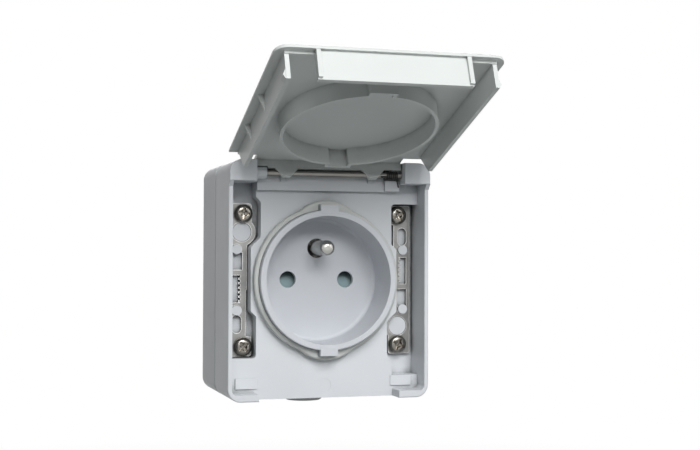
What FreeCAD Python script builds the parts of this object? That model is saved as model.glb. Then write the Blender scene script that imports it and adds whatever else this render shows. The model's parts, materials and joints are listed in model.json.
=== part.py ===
# Surface-mounted weatherproof socket with a hinged lid, modelled with the lid open.
# X runs to the right, Y into the wall, Z up. The origin is the centre of the back face, on the wall.
import FreeCAD
import Part
import os

os.makedirs("parts", exist_ok=True)

# Casing
case_corner = 4.0
back_edge = 3.5
wall = 2.0
back_depth = 24.3
gasket_thick = 0.8
gasket_inset = 0.8
seam_edge = 0.6
ring_stand = 45.0

# Front frame
rim_above_ring = 1.4
rim_wall = 1.3
rim_edge = 0.45
foot_wall = 2.2
foot_inset = 1.2
face_below_rim = 6.9
face_wall = 2.3
recess_corner = 1.5
cavity_gap = 0.3
mark_radius = 2.1
mark_depth = 0.15
mark_above_end = 3.9

# Hinge blocks, ledge and trough at the top of the front frame
block_width = 7.1
block_height = 6.5
block_above_rim = 1.7
block_edge = 0.3
ledge_clear = 2.9
ledge_height = 4.4
trough_height = 4.5
ledge_stand = 1.8
trough_below_face = 0.7
nib_shift = 0.3
nib_width = 1.5
nib_height = 1.8
nib_stand = 0.5
seat_width = 4.7
seat_height = 3.3
seat_rise = 0.2
seat_stand = 1.2
pocket_above_rod = 0.8
pocket_height = 1.6
pocket_depth = 5.3
pocket_inset = 1.0

# Side channels of the front frame: distances from the ring's edge and from the screws
channel_clear = 1.83
channel_width = 7.05
upper_step = 1.5
bulge_step = 3.1
lower_step = 1.7
channel_slope = 1.6
channel_below_screw = 3.4
bulge_above_screw = 3.4
bulge_below_eye = 3.25
waist_below_eye = 4.65
waist_above_screw = 9.4
channel_round = 1.1
bulge_round = 2.2
kink_round = 1.2
pad_stand = 0.45
pad_width = 6.8
pad_gap = 2.3
pad_length = 3.2

# Support strips and their screws
strip_below_face = 4.7
strip_thick = 1.5
strip_rim_gap = 1.0
strip_past_screw = 3.1
strip_head_width = 2.8
strip_neck_gap = 0.6
strip_side_gap = 0.25
strip_round = 0.8
channel_floor_wall = 2.0
peg_from_rim = 3.5
peg_below_eye = 5.4
peg_radius = 1.5
peg_proud = 0.6
peg_gap = 0.1
eye_from_rim = 5.1
eye_below_screw = 5.75
eye_boss_radius = 2.9
eye_wall = 1.3
eye_gap = 0.15
eye_sunk = 0.1
screw_from_rim = 5.4
screw_z = 20.6
screw_radius = 1.7
screw_head_radius = 2.9
screw_head_height = 2.4
screw_head_round = 0.9
screw_length = 27.0
screw_tip = 0.6
screw_room = 1.0
screw_hole_gap = 0.3
thread_gap = 0.05
column_radius = 4.0
recess_arm = 0.85
recess_reach = 1.85
recess_depth = 1.2
recess_centre = 1.0
recess_bottom = 1.8
slot_half = 1.45
slot_below_peg = 2.95
slot_length = 2.65
slot_shift = 0.1
window_below_peg = 1.0
window_above_teeth = 1.7
window_low_below_peg = 6.35
window_inner = 5.3
window_outer = 2.1
tooth_count = 6
tooth_depth = 0.6
tooth_share = 0.45
tooth_slope = 0.1
tooth_inner = 4.7
tooth_outer = 2.2
teeth_above_peg = 2.45

# Socket insert
ring_bore = 19.88
ring_wall = 1.84
bore_draft = 0.31
well_depth = 15.4
well_floor = 1.8
well_round = 1.2
ring_edge = 0.45
pin_pitch = 19.0
earth_offset = 10.0
live_hole_radius = 2.65
earth_hole_radius = 3.1
key_half = 2.8
key_past_ring = 1.53
key_root = 1.12
key_proud = 0.15
insert_gap = 0.28
key_gap = 0.15
flange_inside_ring = 3.92
flange_past_boss = 3.7
flange_side_gap = 0.6
flange_thick = 2.0

# Ring seal
seal_gap = 0.13
seal_past_ring = 1.38
seal_past_key = 1.55
seal_arch_radius = 12.5
seal_stand = 3.0
seal_edge = 0.9

# Mechanism base and what it holds
base_side_gap = 1.7
base_top = 23.5
base_bottom = -19.5
base_depth = 19.3
base_corner = 3.0
ear_half = 5.0
ear_past_boss = 3.5
ear_thick = 3.0
boss_past_key = 5.25
boss_radius = 3.25
boss_gap = 0.2
base_screw_radius = 1.4
base_screw_head = 2.8
base_screw_head_height = 1.8
base_screw_head_round = 0.7
driver_slot_half = 0.4
driver_slot_depth = 0.9
base_screw_length = 9.0
cover_half_width = 14.2
cover_top = 13.4
cover_bottom = -6.2
cover_thick = 2.0
cover_gap = 0.15

# Shutter
shutter_half_width = 12.9
shutter_half_height = 3.3
shutter_thick = 4.2
shutter_gap = 0.2
shutter_side_gap = 0.3
shutter_travel = 6.0
shutter_over_travel = 0.6
ramp_half = 3.2
ramp_low = 2.7
ramp_deep = 3.0
spring_pocket_half = 2.6
spring_pocket_depth = 3.6
spring_radius = 1.8
spring_wire = 0.225
spring_turns = 6

# Contacts and terminals
pin_radius = 2.4
pin_length = 14.0
pin_tip_round = 1.9
pin_stem_radius = 2.2
pin_collar_radius = 3.5
pin_collar_thick = 1.6
pin_gap = 0.1
rivet_radius = 1.5
rivet_head_radius = 2.2
rivet_head_height = 0.6
contact_outer = 3.1
contact_inner = 2.35
contact_length = 8.6
contact_slit = 0.8
slit_end = 1.5
chamber_gap = 0.4
tail_thick = 1.0
tail_half_width = 2.5
tail_end = 3.6
tail_gap = 0.25
strap_side = 0.4
terminal_drop = 14.4
earth_terminal_z = 18.2
terminal_depth = 5.5
terminal_half = 4.1
clamp_half = 3.5
clamp_thick = 1.2
wire_gap = 1.4
terminal_screw_radius = 1.6
terminal_head_radius = 2.7
terminal_head_height = 1.8
terminal_screw_length = 7.0
wire_hole_radius = 1.7
wire_shift = 0.3

# Back box fittings
wall_hole_inside = 3.7
wall_hole_below_top = 7.6
wall_hole_radius = 2.2
wall_boss_radius = 4.6
wall_boss_height = 2.5
wall_seal_radius = 4.1
wall_seal_thick = 1.2
wall_seal_bore = 2.3
pillar_rib = 1.6
entry_radius = 8.0
grommet_flange = 1.3
grommet_flange_thick = 1.4
grommet_nose = 1.9
grommet_nose_radius = 5.6
grommet_bore = 3.6
grommet_rise = 0.4
knockout_groove = 0.8
knockout_depth = 0.6

# Lid, in its closed place
open_angle = 110.0
lid_above_ring = 3.06
lid_thick = 1.8
lid_overhang = 0.15
lid_end_inset = 0.35
lid_corner = 4.0
lid_edge = 0.6
lid_step = 0.7
lid_step_width = 2.05
lid_shoulder_gap = 1.8
lid_tongue_inset = 1.4
lid_tongue_gap = 0.3
skirt_side_gap = 1.2
skirt_end_gap = 0.5
skirt_wall = 1.2
skirt_depth = 7.1
skirt_tip = 21.5
skirt_root = 27.0
gusset_first = -9.0
gusset_second = 9.5
gusset_width = 1.0
gusset_reach = 1.6
gusset_height = 4.5
nub_reach = 0.75
nub_height = 2.9
nub_length = 2.6
nub_slope = 0.4
nub_inset = 0.2
panel_side_gap = 0.9
panel_wall = 1.5
panel_set_back = 0.95
panel_depth = 7.74
fin_width = 1.2
fin_depth = 7.3
fin_set_back = 0.15
wall_ring_inside_seal = 0.2
wall_ring_wall = 1.05
wall_ring_gap = 0.25
wall_key_past_key = 1.2
wall_key_inside_seal = 0.3

# Hinge
hinge_below_ring = 0.74
hinge_below_top = 3.8
rod_radius = 0.85
rod_end_inset = 1.7
rod_chamfer = 0.2
rod_frame_gap = 0.03
rod_lid_gap = 0.08
rod_end_gap = 0.3
lug_eye_radius = 1.45
lug_inside_block = 9.7
lug_root_half = 3.8
lug_tip_half = 1.2
rib_thick = 1.4
rib_rod_gap = 0.35
knuckle_radius = 1.85
knuckle_length = 3.5
knuckle_clear = 0.3
coil_length = 3.8
coil_block_gap = 1.5
coil_radius = 1.12
coil_wire = 0.2
coil_turns = 6
coil_clear = 0.35
ball_share = 1.06
lid_leg_length = 0.5
seat_leg_side = 1.1
seat_leg_length = 2.4

# Planes across the depth, and shared places
y_ring = -ring_stand
y_rim = y_ring - rim_above_ring
y_block = y_rim - block_above_rim
y_face = y_rim + face_below_rim
y_face_back = y_face + face_wall
y_strip = y_face + strip_below_face
y_floor = y_strip + strip_thick
y_floor_back = y_floor + channel_floor_wall
y_well = y_ring + well_depth
y_insert_back = y_well + well_floor
y_mouth = -back_depth
y_frame_back = y_mouth - gasket_thick
y_base_back = y_insert_back + base_depth
y_terminal = y_base_back - terminal_depth
y_lid = y_ring - lid_above_ring
y_lid_front = y_lid - lid_thick
y_hinge = y_ring + hinge_below_ring
y_ledge = y_face - ledge_stand
ring_radius = ring_bore + ring_wall
floor_bore = ring_bore - bore_draft
key_reach = ring_radius + key_past_ring
key_start = ring_radius - key_root
seal_radius = ring_radius + seal_past_ring
seal_reach = key_reach + seal_past_key
wall_ring_radius = seal_radius - wall_ring_inside_seal
wall_key_half = key_half + wall_key_past_key
wall_key_reach = seal_reach - wall_key_inside_seal
channel_middle = ring_radius + channel_clear
channel_upper = channel_middle - upper_step
channel_bulge = channel_middle - bulge_step
channel_lower = channel_middle - lower_step
inner_half_width = channel_middle + channel_width
half_width = inner_half_width + rim_wall
ledge_low = seal_reach + ledge_clear
ledge_high = ledge_low + ledge_height
half_height = ledge_high + trough_height
foot_z = foot_wall - half_height
block_inner = inner_half_width - block_width
block_z = half_height - block_height
foot_gap_half = block_inner - foot_inset
hinge_z = half_height - hinge_below_top
pocket_low = hinge_z + pocket_above_rod
boss_z = key_reach + boss_past_key
flange_half_width = ring_radius - flange_inside_ring
flange_half_height = boss_z + flange_past_boss
ear_reach = boss_z + ear_past_boss
screw_x = inner_half_width - screw_from_rim
peg_x = inner_half_width - peg_from_rim
eye_x = inner_half_width - eye_from_rim
eye_z = screw_z - eye_below_screw
peg_z = eye_z - peg_below_eye
strip_outer = inner_half_width - strip_rim_gap
strip_end = screw_z + strip_past_screw
strip_head = screw_x - strip_head_width
window_low = peg_z - window_low_below_peg
base_half_width = screw_x - column_radius - base_side_gap
wall_hole_x = screw_x - wall_hole_inside
wall_hole_z = half_height - wall_hole_below_top
entry_y = -back_edge - entry_radius - grommet_flange - grommet_rise
lid_half_width = half_width + lid_overhang
lid_free_end = half_height - lid_end_inset
lid_shoulder = block_z - lid_shoulder_gap
lid_tongue_end = half_height - lid_tongue_inset
y_lid_step = y_lid - lid_step
skirt_outer = inner_half_width - skirt_side_gap
skirt_start = -foot_z - skirt_end_gap
lug_offset = block_inner - lug_inside_block
nib_offset = lug_offset + nib_shift
coil_start = block_inner - coil_block_gap - coil_length
rod_half_length = half_width - rod_end_inset
live_x = pin_pitch / 2
corners = [(sx, sz) for sx in (-1, 1) for sz in (-1, 1)]


def vec(x, y, z):
    return FreeCAD.Vector(x, y, z)


def slab(x0, x1, y0, y1, z0, z1):
    """A block between two corners."""
    return Part.makeBox(x1 - x0, y1 - y0, z1 - z0, vec(x0, y0, z0))


def bar_x(y, z, radius, x0, x1):
    return Part.makeCylinder(radius, x1 - x0, vec(x0, y, z), vec(1, 0, 0))


def bar_y(x, z, radius, y0, y1):
    return Part.makeCylinder(radius, y1 - y0, vec(x, y0, z), vec(0, 1, 0))


def bar_z(x, y, radius, z0, z1):
    return Part.makeCylinder(radius, z1 - z0, vec(x, y, z0), vec(0, 0, 1))


def fuse(first, *others):
    return first.multiFuse(list(others)).removeSplitter()


def run_y(outline, y0, y1):
    """A closed outline of (x, z) points, carried from y0 to y1."""
    points = [vec(x, y0, z) for x, z in outline]
    face = Part.Face(Part.makePolygon(points + points[:1]))
    return face.extrude(vec(0, y1 - y0, 0))


def run_x(outline, x0, x1):
    """A closed outline of (y, z) points, carried from x0 to x1."""
    points = [vec(x0, y, z) for y, z in outline]
    face = Part.Face(Part.makePolygon(points + points[:1]))
    return face.extrude(vec(x1 - x0, 0, 0))


def run_z(outline, z0, z1):
    """A closed outline of (x, y) points, carried from z0 to z1."""
    points = [vec(x, y, z0) for x, y in outline]
    face = Part.Face(Part.makePolygon(points + points[:1]))
    return face.extrude(vec(0, 0, z1 - z0))


def along_y(edge):
    """True for a straight edge that runs along Y."""
    start, end = edge.Vertexes[0].Point, edge.Vertexes[-1].Point
    return abs(start.x - end.x) < 1e-6 and abs(start.z - end.z) < 1e-6 and abs(start.y - end.y) > 1e-6


def round_upright(shape, radius, chosen=None):
    """Rounds the edges along Y, all of them or those whose (x, z) the test accepts."""
    edges = [e for e in shape.Edges if along_y(e)]
    if chosen:
        edges = [e for e in edges if chosen(e.Vertexes[0].Point.x, e.Vertexes[0].Point.z)]
    return shape.makeFillet(radius, edges)


def rounded_block(half_x, z0, z1, y0, y1, radius):
    """A block with its four edges along Y rounded."""
    return round_upright(slab(-half_x, half_x, y0, y1, z0, z1), radius)


def edges_at(shape, y):
    """The edges that lie wholly in the plane at y."""
    return [e for e in shape.Edges if abs(e.BoundBox.YMin - y) < 1e-4 and abs(e.BoundBox.YMax - y) < 1e-4]


def keyed_disc(radius, key_width, reach, y0, y1):
    """A disc with a rectangular key at the top and the bottom."""
    key = slab(-key_width, key_width, y0, y1, -reach, reach)
    return fuse(bar_y(0, 0, radius, y0, y1), key)


def wire_run(points, radius):
    """The pieces of a bent wire through the given points, with a slightly wider ball at each."""
    pieces = [Part.makeSphere(radius * ball_share, point) for point in points]
    for start, end in zip(points, points[1:]):
        pieces.append(Part.makeCylinder(radius, (end - start).Length, start, end - start))
    return pieces


def half_turn(shape):
    """A copy turned half a turn about the socket's axis."""
    copy = shape.copy()
    copy.rotate(vec(0, 0, 0), vec(0, 1, 0), 180)
    return copy


def cross_recess(x, y, z, depth):
    """The cutter for a cross recess in a screw head whose face is at y and looks towards -Y."""
    across = slab(x - recess_reach, x + recess_reach, y, y + depth, z - recess_arm / 2, z + recess_arm / 2)
    upright = slab(x - recess_arm / 2, x + recess_arm / 2, y, y + depth, z - recess_reach, z + recess_reach)
    centre = Part.makeCone(recess_centre, recess_arm / 2, recess_bottom, vec(x, y, z), vec(0, 1, 0))
    return across.multiFuse([upright, centre])


def left_channel():
    """The cutter for the left channel. Its outer side is the rim wall's inner face."""
    bulge_top = screw_z + bulge_above_screw
    bulge_bottom = eye_z - bulge_below_eye
    waist_top = eye_z - waist_below_eye
    waist_bottom = waist_above_screw - screw_z
    low = -screw_z - channel_below_screw
    outline = [
        (-inner_half_width, block_z), (-channel_upper, block_z), (-channel_upper, bulge_top + channel_slope),
        (-channel_bulge, bulge_top), (-channel_bulge, bulge_bottom + channel_slope),
        (-channel_upper, bulge_bottom), (-channel_middle, waist_top),
        (-channel_middle, waist_bottom + channel_slope), (-channel_lower, waist_bottom),
        (-channel_lower, low), (-inner_half_width, low),
    ]
    cut = run_y(outline, y_rim, y_floor)
    cut = round_upright(cut, bulge_round, lambda x, z: x > -channel_bulge - 0.1)
    cut = round_upright(cut, kink_round,
                        lambda x, z: abs(x + channel_middle) < 0.1 or abs(z - waist_bottom) < 0.1)
    return round_upright(cut, channel_round, lambda x, z: x > 1.0 - inner_half_width and z < low + 0.1)


def back_box():
    """Rear half of the casing: a tray with four screw pillars, an entry below and wall holes."""
    body = rounded_block(half_width, -half_height, half_height, y_mouth, 0, case_corner)
    body = body.makeFillet(back_edge, edges_at(body, 0))
    body = body.makeChamfer(seam_edge, edges_at(body, y_mouth))
    hollow = rounded_block(half_width - wall, wall - half_height, half_height - wall, y_mouth, -wall,
                           case_corner - wall)
    body = body.cut(hollow)
    adds = []
    cuts = []
    for sx, sz in corners:
        x, z = sx * screw_x, sz * screw_z
        adds.append(bar_y(x, z, column_radius, y_frame_back, -wall / 2))
        edge = sx * (half_width - wall / 2)
        adds.append(slab(min(x, edge), max(x, edge), y_mouth + gasket_thick, -wall / 2,
                         z - pillar_rib / 2, z + pillar_rib / 2))
        hole_end = y_strip + screw_length + screw_room
        cuts.append(bar_y(x, z, screw_radius + thread_gap, y_frame_back, hole_end))
        wx, wz = sx * wall_hole_x, sz * wall_hole_z
        adds.append(bar_y(wx, wz, wall_boss_radius, -wall - wall_boss_height, -wall / 2))
        cuts.append(bar_y(wx, wz, wall_hole_radius, -wall - wall_boss_height, 0))
    cuts.append(bar_z(0, entry_y, entry_radius, -half_height, wall - half_height))
    outer = bar_z(0, entry_y, entry_radius, half_height - knockout_depth, half_height)
    cuts.append(outer.cut(bar_z(0, entry_y, entry_radius - knockout_groove, 0, half_height)))
    return fuse(body, *adds).cut(Part.makeCompound(cuts))


def box_gasket():
    """Flat soft ring that seals the joint between the two halves of the casing."""
    outer = rounded_block(half_width - gasket_inset, gasket_inset - half_height, half_height - gasket_inset,
                          y_frame_back, y_mouth, case_corner - gasket_inset)
    inner = rounded_block(half_width - wall, wall - half_height, half_height - wall, y_frame_back, y_mouth,
                          case_corner - wall)
    return outer.cut(inner)


def cable_grommet():
    """Soft bush in the entry: a flange on each side of the wall and a short nose with the cable hole."""
    low = -half_height
    reach = entry_radius + grommet_flange
    body = bar_z(0, entry_y, entry_radius, low, low + wall)
    outer = bar_z(0, entry_y, reach, low - grommet_flange_thick, low)
    inner = bar_z(0, entry_y, reach, low + wall, low + wall + grommet_flange_thick)
    nose_low = low - grommet_flange_thick - grommet_nose
    nose = Part.makeCone(grommet_nose_radius, entry_radius, grommet_nose, vec(0, entry_y, nose_low))
    bore = bar_z(0, entry_y, grommet_bore, nose_low, low + wall + grommet_flange_thick)
    return fuse(body, outer, inner, nose).cut(bore)


def wall_seals():
    """Four soft washers on the bosses round the wall-fixing holes."""
    rings = []
    top = -wall - wall_boss_height
    for sx, sz in corners:
        ring = bar_y(sx * wall_hole_x, sz * wall_hole_z, wall_seal_radius, top - wall_seal_thick, top)
        rings.append(ring.cut(bar_y(sx * wall_hole_x, sz * wall_hole_z, wall_seal_bore,
                                    top - wall_seal_thick, top)))
    return Part.makeCompound(rings)


def hinge_blocks(outer):
    """The two blocks at the top corners, cut from the casing's own outline."""
    blocks = []
    for side in (-1, 1):
        x0, x1 = sorted((side * block_inner, side * half_width))
        zone = slab(x0, x1, y_block, y_face, block_z, half_height)
        block = outer.common(zone)
        blocks.append(block.makeFillet(block_edge, edges_at(block, y_block)))
    return blocks


def rim_ramps():
    """Short slopes from the hinge blocks down to the rim."""
    low = block_z - block_above_rim
    outline = [(y_block, block_z), (y_rim, low), (y_face, low), (y_face, block_z)]
    return [run_x(outline, *sorted((side * inner_half_width, side * half_width))) for side in (-1, 1)]


def front_frame():
    """Front half of the casing: rim walls, face plate, two screw channels and the hinge's fixed side."""
    body = rounded_block(half_width, -half_height, half_height, y_rim, y_frame_back, case_corner)
    body = body.makeFillet(rim_edge, edges_at(body, y_rim))
    body = body.makeChamfer(seam_edge, edges_at(body, y_frame_back))
    recess = slab(-inner_half_width, inner_half_width, y_rim, y_face, foot_z, block_z)
    recess = round_upright(recess, recess_corner, lambda x, z: z < 0)
    foot_gap = slab(-foot_gap_half, foot_gap_half, y_rim, y_face, -half_height, foot_z + 1.0)
    y_trough = y_face + trough_below_face
    trough = slab(-block_inner, block_inner, y_rim, y_trough, ledge_high, half_height)
    slot = slab(-block_inner, block_inner, y_rim, y_face, block_z - 1.0, ledge_high)
    pocket = slab(pocket_inset - block_inner, block_inner - pocket_inset, y_trough, y_trough + pocket_depth,
                  pocket_low, pocket_low + pocket_height)
    body = body.cut(Part.makeCompound([recess, foot_gap, trough, slot, pocket]))

    # Hinge blocks, ledge, knuckle, nibs and the spring's seat
    outer = rounded_block(half_width, -half_height, half_height, y_block, y_frame_back, case_corner)
    ledge = slab(-block_inner, block_inner, y_ledge, y_trough, ledge_low, ledge_high)
    knuckle = bar_x(y_hinge, hinge_z, knuckle_radius, -block_inner, knuckle_length - block_inner)
    seat = slab(block_inner - seat_width, block_inner, y_ledge - seat_stand, y_ledge,
                ledge_low + seat_rise, ledge_low + seat_rise + seat_height)
    nibs = []
    for side in (-1, 1):
        middle = side * nib_offset
        nibs.append(slab(middle - nib_width / 2, middle + nib_width / 2, y_ledge - nib_stand, y_ledge,
                         ledge_high - nib_height, ledge_high))
    body = fuse(body, ledge, knuckle, seat, *nibs, *hinge_blocks(outer), *rim_ramps())

    # Channels, their pegs, and the raised pads beyond their lower ends
    channel = left_channel()
    body = body.cut(channel).cut(half_turn(channel))
    adds = []
    cuts = []
    for sx, sz in corners:
        adds.append(bar_y(sx * peg_x, sz * peg_z, peg_radius, y_strip - peg_proud, y_floor))
        adds.append(bar_y(sx * screw_x, sz * screw_z, column_radius, y_floor, y_frame_back))
        cuts.append(bar_y(sx * screw_x, sz * screw_z, screw_radius + screw_hole_gap, y_floor, y_frame_back))
    for side in (-1, 1):
        adds.append(bar_y(side * eye_x, -side * eye_z, eye_boss_radius, y_strip + eye_sunk, y_floor))
    for side in (-1, 1):
        pad_outer = inner_half_width - pad_gap
        x0, x1 = sorted((side * (pad_outer - pad_width), side * pad_outer))
        adds.append(slab(x0, x1, y_face - pad_stand, y_face, -block_z - pad_length, -block_z))

    # Inside: the room behind the face plate and behind the channels
    cavity = flange_half_width + flange_side_gap
    inner = slab(-cavity, cavity, y_face_back, y_frame_back, wall - half_height,
                 flange_half_height + cavity_gap)
    well_room = bar_y(0, 0, ring_radius + insert_gap, y_face, y_frame_back)
    room = rounded_block(half_width - wall, wall - half_height, half_height - wall, y_floor_back,
                         y_frame_back, case_corner - wall)
    key_hole = slab(-key_half - key_gap, key_half + key_gap, y_face, y_face_back,
                    -key_reach - key_gap, key_reach + key_gap)
    body = body.cut(inner).cut(well_room).cut(room).cut(key_hole)
    for sz in (-1, 1):
        adds.append(bar_y(0, sz * boss_z, boss_radius, y_face + mark_depth, y_insert_back))
        cuts.append(bar_y(0, sz * boss_z, base_screw_radius + thread_gap,
                          y_insert_back - base_screw_length + ear_thick - 1.0, y_insert_back))
    cuts.append(bar_y(0, mark_above_end - half_height, mark_radius, y_face, y_face + mark_depth))
    hole = rod_half_length + rod_end_gap
    cuts.append(bar_x(y_hinge, hinge_z, rod_radius + rod_frame_gap, -hole, hole))
    return fuse(body, *adds).cut(Part.makeCompound(cuts))


def ring_seal():
    """Soft collar round the socket ring, arched over the keys. The lid's circular wall closes on it."""
    y0 = y_face - seal_stand
    centre = seal_reach - seal_arch_radius
    arches = [bar_y(0, side * centre, seal_arch_radius, y0, y_face) for side in (-1, 1)]
    body = fuse(bar_y(0, 0, seal_radius, y0, y_face), *arches)
    body = body.makeFillet(seal_edge, edges_at(body, y0))
    bore = keyed_disc(ring_radius + seal_gap, key_half + key_gap, key_reach + key_gap, y0, y_face)
    return body.cut(bore)


def strip_profile():
    """The left support strip's blank, before its holes."""
    waist = channel_middle + strip_side_gap
    neck = channel_middle + strip_neck_gap
    outline = [
        (-strip_outer, strip_end), (-strip_head, strip_end), (-strip_head, screw_z - strip_past_screw),
        (-waist, eye_z - eye_boss_radius), (-waist, -window_low), (-neck, -window_low),
        (-neck, strip_past_screw - screw_z), (-strip_head, screw_head_radius - screw_z),
        (-strip_head, -strip_end), (-strip_outer, -strip_end),
    ]
    body = run_y(outline, y_strip, y_floor)
    body = round_upright(body, strip_round, lambda x, z: abs(z) > strip_end - strip_round)
    return fuse(body, bar_y(-eye_x, eye_z, eye_boss_radius + eye_gap + eye_wall, y_strip, y_floor))


def tooth_slot():
    """The cutter for the long slot with a toothed inner side in the middle of the left strip."""
    high = window_low - window_above_teeth
    low = teeth_above_peg - peg_z
    pitch = (high - low) / tooth_count
    outer = tooth_outer - inner_half_width
    inner = tooth_inner - inner_half_width
    outline = [(outer, high)]
    for step in range(tooth_count):
        top = high - step * pitch
        outline += [(inner, top), (inner, top - pitch * tooth_share),
                    (inner - tooth_depth, top - pitch * (tooth_share + tooth_slope)),
                    (inner - tooth_depth, top - pitch * (1 - tooth_slope / 2))]
    outline += [(inner, low), (outer, low)]
    return run_y(outline, y_strip, y_floor)


def support_strip():
    """Stamped steel strip in the left channel, held by pegs and clamped by two screws."""
    cuts = [bar_y(-eye_x, eye_z, eye_boss_radius + eye_gap, y_strip, y_floor), tooth_slot()]
    for sz in (-1, 1):
        cuts.append(bar_y(-screw_x, sz * screw_z, screw_radius + screw_hole_gap, y_strip, y_floor))
        cuts.append(bar_y(-peg_x, sz * peg_z, peg_radius + peg_gap, y_strip, y_floor))
    slot_x = slot_shift - peg_x
    slot_high = -peg_z - slot_below_peg
    slot_low = slot_high - slot_length
    cuts.append(slab(slot_x - slot_half, slot_x + slot_half, y_strip, y_floor, slot_low, slot_high))
    cuts.append(bar_y(slot_x, slot_low, slot_half, y_strip, y_floor))
    cuts.append(bar_y(slot_x, slot_high, slot_half, y_strip, y_floor))
    cuts.append(slab(window_outer - inner_half_width, window_inner - inner_half_width, y_strip, y_floor,
                     window_low, peg_z - window_below_peg))
    return strip_profile().cut(Part.makeCompound(cuts))


def frame_screws():
    """Four pan-head cross-recess screws that clamp the strips and the front frame to the back box."""
    screws = []
    for sx, sz in corners:
        x, z = sx * screw_x, sz * screw_z
        head = bar_y(x, z, screw_head_radius, y_strip - screw_head_height, y_strip)
        head = head.makeFillet(screw_head_round, edges_at(head, y_strip - screw_head_height))
        shank = bar_y(x, z, screw_radius, y_strip, y_strip + screw_length)
        shank = shank.makeChamfer(screw_tip, edges_at(shank, y_strip + screw_length))
        screw = fuse(head, shank)
        screws.append(screw.cut(cross_recess(x, y_strip - screw_head_height, z, recess_depth)))
    return Part.makeCompound(screws)


def socket_insert():
    """The round well with its ring, keys and pin holes, and the flange that stops behind the face plate."""
    body = bar_y(0, 0, ring_radius, y_ring, y_insert_back)
    body = body.makeFillet(ring_edge, edges_at(body, y_ring))
    well = Part.makeCone(ring_bore, floor_bore, well_depth, vec(0, y_ring, 0), vec(0, 1, 0))
    well = well.makeFillet(well_round, edges_at(well, y_well))
    flange = slab(-flange_half_width, flange_half_width, y_face_back, y_face_back + flange_thick,
                  -flange_half_height, flange_half_height)
    keys = []
    for z0, z1 in ((-key_reach, -key_start), (key_start, key_reach)):
        keys.append(slab(-key_half, key_half, y_ring - key_proud, y_face_back, z0, z1))
    body = fuse(body, flange, *keys).cut(well)
    cuts = [bar_y(side * live_x, 0, live_hole_radius, y_well, y_insert_back) for side in (-1, 1)]
    cuts.append(bar_y(0, earth_offset, earth_hole_radius, y_well, y_insert_back))
    for sz in (-1, 1):
        cuts.append(bar_y(0, sz * boss_z, boss_radius + boss_gap, y_face_back, y_face_back + flange_thick))
    return body.cut(Part.makeCompound(cuts))


def shutter():
    """Safety shutter: a slide with a ramp behind each live hole, pushed down by the two pins together."""
    y0 = y_insert_back + shutter_gap
    body = slab(-shutter_half_width, shutter_half_width, y0, y0 + shutter_thick,
                -shutter_half_height, shutter_half_height)
    ramp = [(y0, -ramp_low), (y0, shutter_half_height), (y0 + ramp_deep, shutter_half_height)]
    cuts = [run_x(ramp, side * live_x - ramp_half, side * live_x + ramp_half) for side in (-1, 1)]
    return body.cut(Part.makeCompound(cuts))


def shutter_room():
    """The space in the base in which the shutter and its spring work."""
    depth = shutter_thick + 2 * shutter_gap
    low = -shutter_half_height - shutter_travel - shutter_over_travel
    slide = slab(-shutter_half_width - shutter_side_gap, shutter_half_width + shutter_side_gap,
                 y_insert_back, y_insert_back + depth, low, shutter_half_height + shutter_side_gap)
    pocket = slab(-spring_pocket_half, spring_pocket_half, y_insert_back, y_insert_back + depth,
                  low - spring_pocket_depth, low)
    return [slide, pocket]


def coil(radius, wire, turns, length):
    """A helical wire that starts at the origin and climbs along Z."""
    path = Part.makeHelix(length / turns, length, radius)
    profile = Part.Wire(Part.makeCircle(wire, vec(radius, 0, 0), vec(0, 1, 0)))
    return Part.Wire(path).makePipeShell([profile], True, True)


def shutter_spring():
    """Compression spring between the floor of its pocket and the shutter's lower edge."""
    low = -shutter_half_height - shutter_travel - shutter_over_travel - spring_pocket_depth
    length = -shutter_half_height - low - 2 * spring_wire
    body = coil(spring_radius, spring_wire, spring_turns, length)
    body.translate(vec(0, y_insert_back + shutter_gap + shutter_thick / 2, low + spring_wire))
    return body


def terminal_places():
    """Centres of the three terminals: left live, right live and earth."""
    return [(-live_x, -terminal_drop), (live_x, -terminal_drop), (0, earth_terminal_z)]


def mechanism_base():
    """Insulating body behind the well, with a chamber for each contact and a pocket for each terminal."""
    body = rounded_block(base_half_width, base_bottom, base_top, y_insert_back, y_base_back, base_corner)
    ears = slab(-ear_half, ear_half, y_insert_back, y_insert_back + ear_thick, -ear_reach, ear_reach)
    body = fuse(body, ears)
    cuts = shutter_room()
    chamber = contact_outer + chamber_gap
    y_room = y_insert_back + shutter_thick + 2 * shutter_gap
    slot = tail_half_width + tail_gap
    for x, z in terminal_places():
        cuts.append(slab(x - terminal_half, x + terminal_half, y_terminal, y_base_back,
                         z - terminal_half, z + terminal_half))
        cuts.append(bar_y(x, z, terminal_screw_radius + screw_hole_gap, y_terminal - terminal_screw_length,
                          y_terminal))
        wire_y = y_terminal + tail_thick + wire_gap / 2 + wire_shift
        z0, z1 = (base_bottom, z) if z < 0 else (z, base_top)
        cuts.append(bar_z(x, wire_y, wire_hole_radius, z0, z1))
    for side in (-1, 1):
        x = side * live_x
        cuts.append(bar_y(x, 0, chamber, y_room, y_base_back))
        cuts.append(slab(x - slot, x + slot, y_terminal, y_base_back, -terminal_drop, 0))
    cuts.append(bar_y(0, earth_offset, pin_stem_radius + pin_gap, y_insert_back, y_terminal))
    cuts.append(bar_y(0, earth_offset, pin_collar_radius + 2 * pin_gap, y_insert_back,
                      y_insert_back + pin_collar_thick))
    cuts.append(slab(-slot - strap_side, slot + strap_side, y_terminal, y_base_back, earth_offset - tail_end,
                     earth_terminal_z))
    cuts.append(slab(-cover_half_width, cover_half_width, y_base_back - cover_thick, y_base_back,
                     cover_bottom, cover_top))
    for sz in (-1, 1):
        cuts.append(bar_y(0, sz * boss_z, base_screw_radius + boss_gap, y_insert_back,
                          y_insert_back + ear_thick))
    return body.cut(Part.makeCompound(cuts))


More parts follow.
